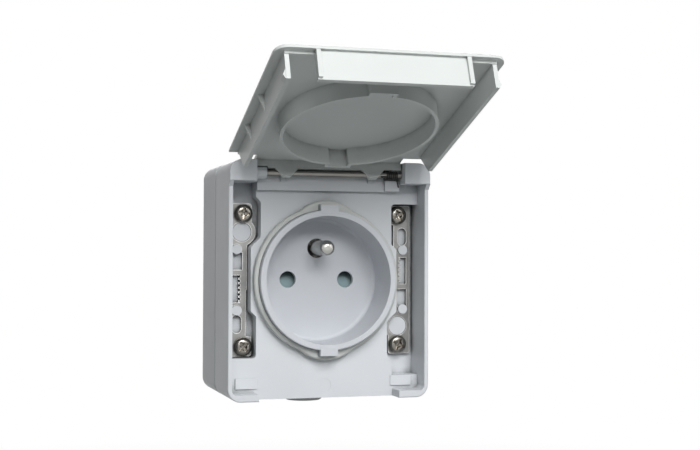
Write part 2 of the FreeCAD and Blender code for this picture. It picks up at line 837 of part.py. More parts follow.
def base_cover():
    """Insulating plate that closes the contact chambers from behind."""
    return slab(cover_gap - cover_half_width, cover_half_width - cover_gap, y_base_back - cover_thick,
                y_base_back, cover_bottom + cover_gap, cover_top - cover_gap)


def mechanism_screws():
    """Two screws through the base's ears into the front frame's bosses."""
    screws = []
    y0 = y_insert_back + ear_thick
    for sz in (-1, 1):
        z = sz * boss_z
        head = bar_y(0, z, base_screw_head, y0, y0 + base_screw_head_height)
        head = head.makeFillet(base_screw_head_round, edges_at(head, y0 + base_screw_head_height))
        shank = bar_y(0, z, base_screw_radius, y0 - base_screw_length, y0)
        slot = slab(-base_screw_head, base_screw_head, y0 + base_screw_head_height - driver_slot_depth,
                    y0 + base_screw_head_height, z - driver_slot_half, z + driver_slot_half)
        screws.append(fuse(head, shank).cut(slot))
    return Part.makeCompound(screws)


def earth_pin():
    """Turned pin: round nose, working length, stem with a collar, and a riveted tail."""
    y_tip = y_well - pin_length
    nose = bar_y(0, earth_offset, pin_radius, y_tip, y_well)
    nose = nose.makeFillet(pin_tip_round, edges_at(nose, y_tip))
    stem = bar_y(0, earth_offset, pin_stem_radius, y_well, y_terminal)
    collar = bar_y(0, earth_offset, pin_collar_radius, y_insert_back, y_insert_back + pin_collar_thick)
    tail = bar_y(0, earth_offset, rivet_radius, y_terminal, y_terminal + tail_thick)
    head = bar_y(0, earth_offset, rivet_head_radius, y_terminal + tail_thick,
                 y_terminal + tail_thick + rivet_head_height)
    return fuse(nose, stem, collar, tail, head)


def earth_strap():
    """Brass strip from the earth pin's tail to its terminal."""
    y1 = y_terminal + tail_thick
    body = slab(-tail_half_width - strap_side, tail_half_width + strap_side, y_terminal, y1,
                earth_offset - tail_end + tail_gap, earth_terminal_z + tail_end)
    hole = bar_y(0, earth_offset, rivet_radius, y_terminal, y1)
    thread = bar_y(0, earth_terminal_z, terminal_screw_radius + thread_gap, y_terminal, y1)
    return body.cut(Part.makeCompound([hole, thread]))


def live_contact(side):
    """Sprung brass sleeve, slit four ways, with a flat tail down to its terminal."""
    x = side * live_x
    y0 = y_terminal - contact_length
    y1 = y_terminal + tail_thick
    sleeve = bar_y(x, 0, contact_outer, y0, y1)
    tail = slab(x - tail_half_width, x + tail_half_width, y_terminal, y1, -terminal_drop - tail_end, 0)
    body = fuse(sleeve, tail)
    slit = contact_slit / 2
    cuts = [bar_y(x, 0, contact_inner, y0, y_terminal)]
    cuts.append(slab(x - contact_outer, x + contact_outer, y0, y_terminal - slit_end, -slit, slit))
    cuts.append(slab(x - slit, x + slit, y0, y_terminal - slit_end, -contact_outer, contact_outer))
    cuts.append(bar_y(x, -terminal_drop, terminal_screw_radius + thread_gap, y_terminal, y1))
    return body.cut(Part.makeCompound(cuts))


def terminal_plates():
    """Three square plates that clamp the wires onto the tails."""
    plates = []
    y0 = y_terminal + tail_thick + wire_gap
    for x, z in terminal_places():
        plate = slab(x - clamp_half, x + clamp_half, y0, y0 + clamp_thick, z - clamp_half, z + clamp_half)
        plates.append(plate.cut(bar_y(x, z, terminal_screw_radius + thread_gap, y0, y0 + clamp_thick)))
    return Part.makeCompound(plates)


def terminal_screws():
    """Three slotted screws that press the plates down."""
    screws = []
    y0 = y_terminal + tail_thick + wire_gap + clamp_thick
    for x, z in terminal_places():
        head = bar_y(x, z, terminal_head_radius, y0, y0 + terminal_head_height)
        shank = bar_y(x, z, terminal_screw_radius, y0 - terminal_screw_length, y0)
        y1 = y0 + terminal_head_height
        slot = slab(x - terminal_head_radius, x + terminal_head_radius, y1 - driver_slot_depth, y1,
                    z - driver_slot_half, z + driver_slot_half)
        screws.append(fuse(head, shank).cut(slot))
    return Part.makeCompound(screws)


def lid_plate():
    """The lid's plate: thinner outside the skirts, with shoulders and a tongue over the hinge."""
    tongue = block_inner - lid_tongue_gap
    plate = slab(-lid_half_width, lid_half_width, y_lid_front, y_lid_step, -lid_free_end, lid_shoulder)
    plate = fuse(plate, slab(-tongue, tongue, y_lid_front, y_lid_step, 0, lid_tongue_end))
    plate = round_upright(plate, lid_corner, lambda x, z: z < 0)
    plate = plate.makeFillet(lid_edge, edges_at(plate, y_lid_front))
    middle = slab(-skirt_outer, skirt_outer, y_lid_step, y_lid, lid_step_width - lid_free_end, lid_shoulder)
    return [plate, middle, slab(-tongue, tongue, y_lid_step, y_lid, 0, lid_tongue_end)]


def lid_skirts():
    """Side skirts that close inside the rim, with their gussets and snap nubs."""
    pieces = []
    low = y_lid + skirt_depth
    profile = [(y_lid, -skirt_start), (low, -skirt_start), (low, skirt_tip), (y_lid, skirt_root)]
    for side in (-1, 1):
        outer = side * skirt_outer
        pieces.append(run_x(profile, *sorted((side * (skirt_outer - skirt_wall), outer))))
        tip = outer + side * gusset_reach
        fin = [(outer, y_lid_step), (tip, y_lid_step), (outer, y_lid + gusset_height)]
        for z in (gusset_first, gusset_second):
            pieces.append(run_z(fin, z - gusset_width / 2, z + gusset_width / 2))
        nub_tip = outer + side * nub_reach
        nub = [(outer, low - nub_height), (nub_tip, low - nub_height * nub_slope), (outer, low)]
        nub_z = nub_inset - skirt_start
        pieces.append(run_z(nub, nub_z, nub_z + nub_length))
    return pieces


def lid_panel():
    """Front panel that fills the gap at the foot of the frame, with a fin at each end."""
    face = -lid_free_end + panel_set_back
    panel_half_width = foot_gap_half - panel_side_gap
    panel = slab(-panel_half_width, panel_half_width, y_lid_step, y_lid + panel_depth, face,
                 face + panel_wall)
    fins = []
    for side in (-1, 1):
        x0, x1 = sorted((side * panel_half_width, side * (panel_half_width - fin_width)))
        fins.append(slab(x0, x1, y_lid_step, y_lid + fin_depth, -lid_free_end + fin_set_back, face))
    return [panel, *fins]


def lid_circular_wall():
    """Wall that closes round the socket ring, with a channel for each key."""
    end = y_face - seal_stand - wall_ring_gap
    outer = keyed_disc(wall_ring_radius, wall_key_half, wall_key_reach, y_lid, end)
    bore = wall_ring_radius - wall_ring_wall
    inner = keyed_disc(bore, wall_key_half - wall_ring_wall, wall_key_reach - wall_ring_wall, y_lid, end)
    return outer.cut(inner)


def lid_hinge():
    """Rib between the blocks with two tapered lugs round the rod."""
    tongue = block_inner - lid_tongue_gap
    z0 = hinge_z - rib_thick
    edge = y_hinge - rod_radius - rib_rod_gap
    pieces = [slab(-tongue, tongue, y_lid, edge, z0, hinge_z)]
    for side in (-1, 1):
        x = side * lug_offset
        lug = [(x - lug_root_half, edge), (x - lug_tip_half, y_hinge + lug_eye_radius),
               (x + lug_tip_half, y_hinge + lug_eye_radius), (x + lug_root_half, edge)]
        pieces.append(run_z(lug, z0, hinge_z))
        pieces.append(bar_x(y_hinge, hinge_z, lug_eye_radius, x - lug_tip_half, x + lug_tip_half))
    return pieces


def lid():
    """The whole lid, made closed and then swung open about the hinge rod."""
    body = fuse(*lid_plate(), *lid_skirts(), *lid_panel(), lid_circular_wall(), *lid_hinge())
    knuckle_end = knuckle_length - block_inner + knuckle_clear
    coil_room = coil_radius + coil_wire + coil_clear
    cuts = [bar_x(y_hinge, hinge_z, rod_radius + rod_lid_gap, -block_inner, block_inner)]
    cuts.append(bar_x(y_hinge, hinge_z, knuckle_radius + knuckle_clear, -block_inner, knuckle_end))
    cuts.append(bar_x(y_hinge, hinge_z, coil_room, coil_start - lid_leg_length - coil_clear, block_inner))
    body = body.cut(Part.makeCompound(cuts))
    body.rotate(vec(0, y_hinge, hinge_z), vec(1, 0, 0), -open_angle)
    return body


def hinge_rod():
    """Steel rod through the blocks, the knuckle and the lid's lugs."""
    rod = bar_x(y_hinge, hinge_z, rod_radius, -rod_half_length, rod_half_length)
    return rod.makeChamfer(rod_chamfer, rod.Edges[0:1] + rod.Edges[2:3])


def hinge_spring():
    """Torsion spring round the rod's right end. One leg lies under a lid lug, the other on the seat."""
    body = coil(coil_radius, coil_wire, coil_turns, coil_length)
    body.rotate(vec(0, 0, 0), vec(0, 1, 0), 90)
    body.translate(vec(coil_start, y_hinge, hinge_z))
    end = coil_start + coil_length
    bottom = hinge_z - coil_radius
    y_leg = y_ledge - seat_stand - coil_wire
    lid_leg = wire_run([vec(coil_start, y_hinge, bottom), vec(coil_start - lid_leg_length, y_hinge, bottom)],
                       coil_wire)
    seat_leg = wire_run([vec(end, y_hinge, bottom), vec(end + seat_leg_side / 2, y_leg, bottom - coil_wire),
                         vec(end + seat_leg_side, y_leg, bottom - seat_leg_length)], coil_wire)
    return body.multiFuse([*lid_leg, *seat_leg])


pieces = {
    "back_box": back_box(),
    "box_gasket": box_gasket(),
    "cable_grommet": cable_grommet(),
    "wall_seals": wall_seals(),
    "front_frame": front_frame(),
    "ring_seal": ring_seal(),
    "support_strip_left": support_strip(),
    "support_strip_right": half_turn(support_strip()),
    "frame_screws": frame_screws(),
    "socket_insert": socket_insert(),
    "shutter": shutter(),
    "shutter_spring": shutter_spring(),
    "mechanism_base": mechanism_base(),
    "base_cover": base_cover(),
    "mechanism_screws": mechanism_screws(),
    "earth_pin": earth_pin(),
    "earth_strap": earth_strap(),
    "live_contact_left": live_contact(-1),
    "live_contact_right": live_contact(1),
    "terminal_plates": terminal_plates(),
    "terminal_screws": terminal_screws(),
    "lid": lid(),
    "hinge_rod": hinge_rod(),
    "hinge_spring": hinge_spring(),
}
for name, shape in pieces.items():
    shape.exportStep("parts/" + name + ".step")
    print(name, len(shape.Solids), round(shape.Volume, 1), shape.isValid())
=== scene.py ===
import bpy
import json
import math
from mathutils import Matrix, Vector


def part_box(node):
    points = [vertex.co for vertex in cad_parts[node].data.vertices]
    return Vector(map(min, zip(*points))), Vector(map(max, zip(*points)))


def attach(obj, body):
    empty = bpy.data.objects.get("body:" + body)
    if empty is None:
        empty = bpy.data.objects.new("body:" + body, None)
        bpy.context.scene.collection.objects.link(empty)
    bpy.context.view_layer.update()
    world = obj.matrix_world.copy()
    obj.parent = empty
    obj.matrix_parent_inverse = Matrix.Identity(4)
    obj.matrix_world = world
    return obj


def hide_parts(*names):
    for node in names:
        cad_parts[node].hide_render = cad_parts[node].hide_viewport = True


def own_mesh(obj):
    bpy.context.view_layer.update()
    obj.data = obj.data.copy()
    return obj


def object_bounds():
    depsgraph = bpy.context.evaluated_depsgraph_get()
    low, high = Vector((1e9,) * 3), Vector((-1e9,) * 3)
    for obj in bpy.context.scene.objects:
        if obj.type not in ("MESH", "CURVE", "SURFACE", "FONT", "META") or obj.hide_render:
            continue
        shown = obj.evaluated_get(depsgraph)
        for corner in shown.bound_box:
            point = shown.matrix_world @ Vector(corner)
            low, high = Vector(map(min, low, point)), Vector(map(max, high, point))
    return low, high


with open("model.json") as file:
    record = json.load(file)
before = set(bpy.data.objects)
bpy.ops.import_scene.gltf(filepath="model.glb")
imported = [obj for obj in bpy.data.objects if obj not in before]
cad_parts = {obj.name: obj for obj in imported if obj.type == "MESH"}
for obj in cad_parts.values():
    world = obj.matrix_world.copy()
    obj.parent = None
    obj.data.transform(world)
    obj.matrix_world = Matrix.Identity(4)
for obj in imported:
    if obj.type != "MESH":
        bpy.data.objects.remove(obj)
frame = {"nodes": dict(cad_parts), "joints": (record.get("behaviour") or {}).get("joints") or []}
cad_box = [list(corner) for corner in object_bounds()]
nodes = frame["nodes"]

# Camera
# The photograph was taken from the left of the socket and level with it, close enough for a strong
# perspective. The camera's place, turn and focal length were fitted to its points and edges.
image_width = 700
sensor_width = 36.0
focal_pixels = 1242.8
view_azimuth = math.radians(16.713)
view_elevation = math.radians(1.459)
view_roll = math.radians(0.167)
camera_place = Vector((-0.1042, -0.4137, 0.0073))

forward = Vector((
    math.sin(view_azimuth) * math.cos(view_elevation),
    math.cos(view_azimuth) * math.cos(view_elevation),
    math.sin(view_elevation),
))
level_right = Vector((math.cos(view_azimuth), -math.sin(view_azimuth), 0))
level_up = level_right.cross(forward)
right = level_right * math.cos(view_roll) + level_up * math.sin(view_roll)
up = level_up * math.cos(view_roll) - level_right * math.sin(view_roll)
camera_data = bpy.data.cameras.new("camera")
camera_data.sensor_fit = "HORIZONTAL"
camera_data.sensor_width = sensor_width
camera_data.lens = focal_pixels / image_width * sensor_width
camera_data.clip_start = 0.01
camera_data.clip_end = 20
camera = bpy.data.objects.new("camera", camera_data)
bpy.context.scene.collection.objects.link(camera)
camera_turn = Matrix((right, up, -forward)).transposed().to_4x4()
camera.matrix_world = Matrix.Translation(camera_place) @ camera_turn
bpy.context.scene.camera = camera
bpy.context.scene.view_settings.view_transform = "Standard"

# Studio
# A pale floor some way below the socket, a surround that looks white but gives little light, and four soft
# square lamps: a strong one above and in front, a weak one on each side, and one behind for the back.
white = (1, 1, 1, 1)
surround_tint = (0.95, 0.98, 1.0, 1)
surround_strength = 0.06
lamp_aim = (0, -0.06, 0.01)
lamp_size = 0.38
rear_lamp_size = 0.60
floor_drop = 0.16
floor_size = 6
floor_grey = (0.42, 0.43, 0.43, 1)
floor_glow_near = 0.72
floor_glow_start = 0.3
floor_glow_full = 1.0


def add_lamp(name, place, size, power):
    """A square soft lamp that points at the socket."""
    data = bpy.data.lights.new(name, "AREA")
    data.shape = "SQUARE"
    data.size = size
    data.energy = power
    lamp = bpy.data.objects.new(name, data)
    bpy.context.scene.collection.objects.link(lamp)
    away = Vector(place) - Vector(lamp_aim)
    lamp.matrix_world = Matrix.Translation(Vector(place)) @ away.to_track_quat("Z", "Y").to_matrix().to_4x4()


def link(tree, source, target):
    """Joins an output socket to an input socket."""
    tree.links.new(source, target)


def feed(tree, value, target):
    """Joins an output socket to an input socket, or sets the input to a plain value."""
    if isinstance(value, bpy.types.NodeSocket):
        link(tree, value, target)
    else:
        target.default_value = value


def add_node(tree, kind, **inputs):
    """A node with some of its input sockets set by name."""
    node = tree.nodes.new(kind)
    for label, value in inputs.items():
        node.inputs[label.replace("_", " ")].default_value = value
    return node


def add_math(tree, operation, first, second):
    """The output of a Math node on two sockets or numbers."""
    node = tree.nodes.new("ShaderNodeMath")
    node.operation = operation
    feed(tree, first, node.inputs[0])
    feed(tree, second, node.inputs[1])
    return node.outputs[0]


def seen_rays(tree):
    """A mask of the rays that meet the bright look: those of the camera, and through glass and in gloss."""
    path = tree.nodes.new("ShaderNodeLightPath")
    seen = add_math(tree, "MAXIMUM", path.outputs["Is Camera Ray"], path.outputs["Is Transmission Ray"])
    return add_math(tree, "MAXIMUM", seen, path.outputs["Is Glossy Ray"])


def mix_shaders(tree, share, first, second, output):
    """Mixes two shaders by a share, and joins the mix to a material's or world's output."""
    mix = tree.nodes.new("ShaderNodeMixShader")
    link(tree, share, mix.inputs[0])
    link(tree, first.outputs[0], mix.inputs[1])
    link(tree, second.outputs[0], mix.inputs[2])
    link(tree, mix.outputs[0], output.inputs["Surface"])


def build_surround():
    """White to the camera and in reflections, and a dim grey as a light."""
    world = bpy.data.worlds.new("surround")
    bpy.context.scene.world = world
    world.use_nodes = True
    tree = world.node_tree
    tree.nodes.clear()
    output = tree.nodes.new("ShaderNodeOutputWorld")
    seen = add_node(tree, "ShaderNodeBackground", Color=white)
    lit = add_node(tree, "ShaderNodeBackground", Color=surround_tint, Strength=surround_strength)
    mix_shaders(tree, seen_rays(tree), lit, seen, output)


def build_floor():
    """A pale floor that fades to white away from the socket and keeps its shadow below it."""
    bpy.ops.mesh.primitive_plane_add(size=floor_size, location=(0, 0, cad_box[0][2] - floor_drop))
    floor = bpy.context.object
    floor.name = "floor"
    material = bpy.data.materials.new("pale_floor")
    material.use_nodes = True
    floor.data.materials.append(material)
    tree = material.node_tree
    tree.nodes.clear()
    output = tree.nodes.new("ShaderNodeOutputMaterial")
    paint = add_node(tree, "ShaderNodeBsdfDiffuse", Color=floor_grey)
    glow = add_node(tree, "ShaderNodeEmission", Color=white)
    place = tree.nodes.new("ShaderNodeTexCoord")
    distance = tree.nodes.new("ShaderNodeVectorMath")
    distance.operation = "LENGTH"
    link(tree, place.outputs["Object"], distance.inputs[0])
    fade = add_node(tree, "ShaderNodeMapRange", From_Min=floor_glow_start, From_Max=floor_glow_full,
                    To_Min=floor_glow_near)
    link(tree, distance.outputs["Value"], fade.inputs["Value"])
    share = add_math(tree, "MULTIPLY", seen_rays(tree), fade.outputs["Result"])
    mix_shaders(tree, share, paint, glow, output)
    return floor


build_surround()
add_lamp("upper_lamp", place=(0.0, -0.69, 0.40), size=lamp_size, power=5.1)
add_lamp("left_lamp", place=(-0.30, -0.68, 0.30), size=lamp_size, power=0.6)
add_lamp("right_lamp", place=(0.46, -0.62, 0.22), size=lamp_size, power=0.5)
add_lamp("rear_lamp", place=(0.30, 0.75, 0.45), size=rear_lamp_size, power=4.6)
floor = build_floor()

# Back box
# The rear half of the casing, moulded in pale grey weatherproof plastic and screwed to the wall through
# four holes in its back.
rear_colour = (0.56, 0.58, 0.60)
# The dark colour of the painted shade in the casing's corners and gaps.
casing_crevice_shade = (0.050, 0.056, 0.050)
edge_radius = 0.00025
edge_steps = 2
edge_angle = math.radians(32)
flat_angle = math.radians(0.4)
merge_reach = 0.0000003
grain_strength = 0.35
polish_spread = 0.16
tone_drift = 0.05
crevice_shade_fall = 1.8
noise_middle = 0.5
mix_colour_inputs = (6, 7)
mix_colour_output = 2


def deselect_all():
    """Leaves edit mode with nothing selected."""
    if bpy.context.object and bpy.context.object.mode != "OBJECT":
        bpy.ops.object.mode_set(mode="OBJECT")
    bpy.ops.object.select_all(action="DESELECT")


def make_active(piece):
    """Selects one object alone."""
    deselect_all()
    piece.select_set(True)
    bpy.context.view_layer.objects.active = piece


def round_edges(piece, radius, angle):
    """A modifier that rounds a piece's edges where they are sharper than an angle."""
    rounding = piece.modifiers.new("rounding", "BEVEL")
    rounding.width = radius
    rounding.segments = edge_steps
    rounding.limit_method = "ANGLE"
    rounding.angle_limit = angle
    return rounding


def softened(node_name, name, radius=edge_radius):
    """A copy of a solid's mesh with its points merged and, unless the radius is 0, sharp edges rounded."""
    source = nodes[node_name]
    mesh = source.data.copy()
    mesh.materials.clear()
    mesh.transform(source.matrix_world)
    piece = bpy.data.objects.new(name, mesh)
    bpy.context.scene.collection.objects.link(piece)
    make_active(piece)
    bpy.ops.mesh.customdata_custom_splitnormals_clear()
    bpy.ops.object.mode_set(mode="EDIT")
    bpy.ops.mesh.select_all(action="SELECT")
    bpy.ops.mesh.remove_doubles(threshold=merge_reach)
    if radius:
        bpy.ops.mesh.dissolve_limited(angle_limit=flat_angle)
    bpy.ops.mesh.select_all(action="DESELECT")
    bpy.ops.object.mode_set(mode="OBJECT")
    if radius:
        rounding = round_edges(piece, radius, edge_angle)
        rounding.miter_outer = "MITER_ARC"
        bpy.ops.object.modifier_apply(modifier=rounding.name)
    bpy.ops.object.shade_smooth_by_angle(angle=edge_angle)
    flatness = piece.modifiers.new("flatness", "WEIGHTED_NORMAL")
    flatness.keep_sharp = True
    bpy.ops.object.modifier_apply(modifier=flatness.name)
    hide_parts(node_name)
    return piece


def new_group(name, inputs, outputs):
    """A node group, from its float inputs with their values and its float outputs."""
    group = bpy.data.node_groups.new(name, "ShaderNodeTree")
    for label, value in inputs.items():
        socket = group.interface.new_socket(label, in_out="INPUT", socket_type="NodeSocketFloat")
        socket.default_value = value
    for label in outputs:
        group.interface.new_socket(label, in_out="OUTPUT", socket_type="NodeSocketFloat")
    return group, group.nodes.new("NodeGroupInput"), group.nodes.new("NodeGroupOutput")


def add_noise(tree, place, scale, **inputs):
    """The value of a noise texture at a place, with its scale from a socket or a number."""
    noise = add_node(tree, "ShaderNodeTexNoise", **inputs)
    link(tree, place, noise.inputs["Vector"])
    feed(tree, scale, noise.inputs["Scale"])
    return noise.outputs["Fac"]


# Effect shared by the mouldings: a fine spark-eroded grain, and slow changes in tone and polish
surface_group, surface_in, surface_out = new_group(
    "moulded_surface",
    {"Grain Size": 2600.0, "Drift Size": 55.0, "Polish Share": 3.1},
    ("Grain", "Drift", "Polish"),
)
surface_place = surface_group.nodes.new("ShaderNodeTexCoord").outputs["Object"]
drift_size = surface_in.outputs["Drift Size"]
polish_size = add_math(surface_group, "MULTIPLY", drift_size, surface_in.outputs["Polish Share"])
grain = add_noise(surface_group, surface_place, surface_in.outputs["Grain Size"], Detail=3.0, Roughness=0.6)
drift = add_noise(surface_group, surface_place, drift_size, Detail=2.0, Roughness=0.45)
rub = add_noise(surface_group, surface_place, polish_size, Detail=4.0, Roughness=0.55, Distortion=0.6)
link(surface_group, grain, surface_out.inputs["Grain"])
link(surface_group, drift, surface_out.inputs["Drift"])
link(surface_group, rub, surface_out.inputs["Polish"])

# Effect shared by all materials: painted shade that darkens corners and narrow gaps, from ambient occlusion
# made uneven by a noise
crevice_group, crevice_in, crevice_out = new_group(
    "painted_crevice_shade",
    {"Reach": 0.004, "Start": 0.25, "End": 0.85, "Shade Noise Size": 420.0, "Break Up": 0.25},
    ("Mask",),
)
occlusion = crevice_group.nodes.new("ShaderNodeAmbientOcclusion")
occlusion.samples = 8
link(crevice_group, crevice_in.outputs["Reach"], occlusion.inputs["Distance"])
closed_in = add_math(crevice_group, "SUBTRACT", 1.0, occlusion.outputs["AO"])
shade_noise_place = crevice_group.nodes.new("ShaderNodeTexCoord").outputs["Object"]
shade_noise = add_noise(crevice_group, shade_noise_place, crevice_in.outputs["Shade Noise Size"], Detail=3.0)
shade_noise_shift = add_math(crevice_group, "SUBTRACT", shade_noise, noise_middle)
shade_noise_shift = add_math(crevice_group, "MULTIPLY", shade_noise_shift, crevice_in.outputs["Break Up"])
uneven = add_math(crevice_group, "ADD", closed_in, shade_noise_shift)
crevice_range = crevice_group.nodes.new("ShaderNodeMapRange")
link(crevice_group, uneven, crevice_range.inputs["Value"])
link(crevice_group, crevice_in.outputs["Start"], crevice_range.inputs["From Min"])
link(crevice_group, crevice_in.outputs["End"], crevice_range.inputs["From Max"])
link(crevice_group, crevice_range.outputs["Result"], crevice_out.inputs["Mask"])


def add_mix(tree, share, first, second):
    """The output of a mix of two colours, each a socket or three numbers."""
    node = tree.nodes.new("ShaderNodeMix")
    node.data_type = "RGBA"
    link(tree, share, node.inputs[0])
    for number, value in zip(mix_colour_inputs, (first, second)):
        if isinstance(value, tuple):
            value = (*value, 1.0)
        feed(tree, value, node.inputs[number])
    return node.outputs[mix_colour_output]


def new_material(name):
    """An empty node material with its Principled BSDF."""
    material = bpy.data.materials.new(name)
    material.use_nodes = True
    tree = material.node_tree
    return material, tree, tree.nodes["Principled BSDF"]


def use_group(tree, group):
    """A node group placed in a material."""
    node = tree.nodes.new("ShaderNodeGroup")
    node.node_tree = group
    return node


def vary_roughness(tree, mask, middle, spread, shader):
    """Spreads a shader's roughness evenly about its middle value by a mask."""
    varied = add_math(tree, "MULTIPLY_ADD", mask, spread)
    varied.node.inputs[2].default_value = middle - spread / 2
    link(tree, varied, shader.inputs["Roughness"])


def add_bump(tree, height, strength, depth, shader):
    """Joins a height to a shader's normal through a bump of a depth in metres."""
    bump = add_node(tree, "ShaderNodeBump", Strength=strength, Distance=depth)
    link(tree, height, bump.inputs["Height"])
    link(tree, bump.outputs["Normal"], shader.inputs["Normal"])


def moulded_plastic(name, colour, crevice_shade, roughness=0.42, grain_depth=0.00002, crevice_shade_share=0.95, reach=0.004,
                    specular=0.28):
    """Moulded plastic or rubber: a drifting tone, fine grain, and painted shade in its corners."""
    material, tree, shader = new_material(name)
    shader.inputs["Specular IOR Level"].default_value = specular
    surface = use_group(tree, surface_group)
    crevice = use_group(tree, crevice_group)
    crevice.inputs["Reach"].default_value = reach
    light = tuple(channel * (1 + tone_drift) for channel in colour)
    dark = tuple(channel * (1 - tone_drift) for channel in colour)
    tone = add_mix(tree, surface.outputs["Drift"], dark, light)
    # Painted shade: the occlusion mask darkens the colour in corners and gaps.
    share = add_math(tree, "POWER", crevice.outputs["Mask"], crevice_shade_fall)
    share = add_math(tree, "MULTIPLY", share, crevice_shade_share)
    link(tree, add_mix(tree, share, tone, crevice_shade), shader.inputs["Base Color"])
    vary_roughness(tree, surface.outputs["Polish"], roughness, polish_spread, shader)
    add_bump(tree, surface.outputs["Grain"], grain_strength, grain_depth, shader)
    return material


rear_plastic = moulded_plastic("rear_plastic", rear_colour, casing_crevice_shade)
rear_casing = softened("back_box", "rear_casing")
rear_casing.data.materials.append(rear_plastic)
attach(rear_casing, "case")

# Box gasket
# A flat ring of dark foam rubber. It lies in the joint between the two halves of the casing, and is shown
# at its squeezed thickness.
foam_rubber = moulded_plastic("foam_rubber", colour=(0.055, 0.06, 0.058), crevice_shade=(0.01, 0.01, 0.01),
                              roughness=0.8, grain_depth=0.00012, specular=0.2)


def paint_node(node_name, material):
    """Gives a solid's own mesh a material in every slot."""
    slots = nodes[node_name].material_slots
    if not slots:
        nodes[node_name].data.materials.append(material)
    for entry in slots:
        entry.material = material


paint_node("box_gasket", foam_rubber)

# Cable grommet and wall seals
# Moulded in soft grey rubber: a bush pushed into the cable entry in the bottom of the back box, and four
# washers on the bosses round its wall-fixing holes.
grey_rubber = moulded_plastic("grey_rubber", colour=(0.42, 0.43, 0.43), crevice_shade=(0.07, 0.07, 0.07),
                              roughness=0.68, grain_depth=0.00005, specular=0.3)
paint_node("cable_grommet", grey_rubber)
paint_node("wall_seals", grey_rubber)

# Front frame
# The front half of the casing, one moulding in the same plastic, a little lighter. Its rim, face, screw
# channels and the fixed side of the hinge are all part of it, and four screws draw it to the back box.
casing_colour = (0.655, 0.678, 0.705)
casing_plastic = moulded_plastic("casing_plastic", casing_colour, casing_crevice_shade)
front_casing = softened("front_frame", "front_casing")
front_casing.data.materials.append(casing_plastic)
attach(front_casing, "case")

# Ring seal
# A soft olive-grey collar, moulded in rubber and pushed on round the socket ring and its keys. The lid's
# circular wall closes on it.
seal_rubber = moulded_plastic("seal_rubber", colour=(0.60, 0.62, 0.60), crevice_shade=(0.27, 0.28, 0.265),
                              roughness=0.62, grain_depth=0.00003, crevice_shade_share=0.2, specular=0.25)
soft_collar = softened("ring_seal", "soft_collar", radius=0)
soft_collar.data.materials.append(seal_rubber)
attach(soft_collar, "case")

# Support strips
# Two like strips stamped from zinc-plated steel sheet. Each is held by pegs in its channel and by two of the
# screws, and a painted highlight brightens its sheared edges.
zinc_light = (0.40, 0.395, 0.38)
zinc_dark = (0.15, 0.153, 0.15)
# A near-white painted highlight for the strips' sheared edges.
zinc_edge_highlight = (0.92, 0.92, 0.90)
strip_edge_radius = 0.00012
line_strength = 0.5
plating_spread = 0.2

# Effect shared by the metals: fine lines of rolling or turning along one axis, and cloudy plating
drawn_group, drawn_in, drawn_out = new_group(
    "drawn_metal",
    {"Line Size": 900.0, "Stretch X": 1.0, "Stretch Y": 1.0, "Stretch Z": 0.04, "Cloud Size": 160.0},
    ("Lines", "Clouds"),
)
drawn_place = drawn_group.nodes.new("ShaderNodeTexCoord").outputs["Object"]
stretch = drawn_group.nodes.new("ShaderNodeCombineXYZ")
for axis in "XYZ":
    link(drawn_group, drawn_in.outputs["Stretch " + axis], stretch.inputs[axis])
stretched = drawn_group.nodes.new("ShaderNodeVectorMath")
stretched.operation = "MULTIPLY"
link(drawn_group, drawn_place, stretched.inputs[0])
link(drawn_group, stretch.outputs[0], stretched.inputs[1])
lines = add_noise(drawn_group, stretched.outputs[0], drawn_in.outputs["Line Size"], Detail=3.0,
                  Roughness=0.65)
clouds = add_noise(drawn_group, drawn_place, drawn_in.outputs["Cloud Size"], Detail=4.0, Roughness=0.6,
                   Distortion=0.8)
link(drawn_group, lines, drawn_out.inputs["Lines"])
link(drawn_group, clouds, drawn_out.inputs["Clouds"])

# Effect shared by the metals: a painted highlight, a bright line along sharp edges found by ambient
# occlusion inside the metal
edge_group, edge_in, edge_out = new_group(
    "painted_edge_highlight",
    {"Width": 0.0003, "Start": 0.10, "End": 0.45},
    ("Mask",),
)
inner_shade = edge_group.nodes.new("ShaderNodeAmbientOcclusion")
inner_shade.inside = True
inner_shade.samples = 8
link(edge_group, edge_in.outputs["Width"], inner_shade.inputs["Distance"])
near_edge = add_math(edge_group, "SUBTRACT", 1.0, inner_shade.outputs["AO"])
edge_range = edge_group.nodes.new("ShaderNodeMapRange")
link(edge_group, near_edge, edge_range.inputs["Value"])
link(edge_group, edge_in.outputs["Start"], edge_range.inputs["From Min"])
link(edge_group, edge_in.outputs["End"], edge_range.inputs["From Max"])
link(edge_group, edge_range.outputs["Result"], edge_out.inputs["Mask"])


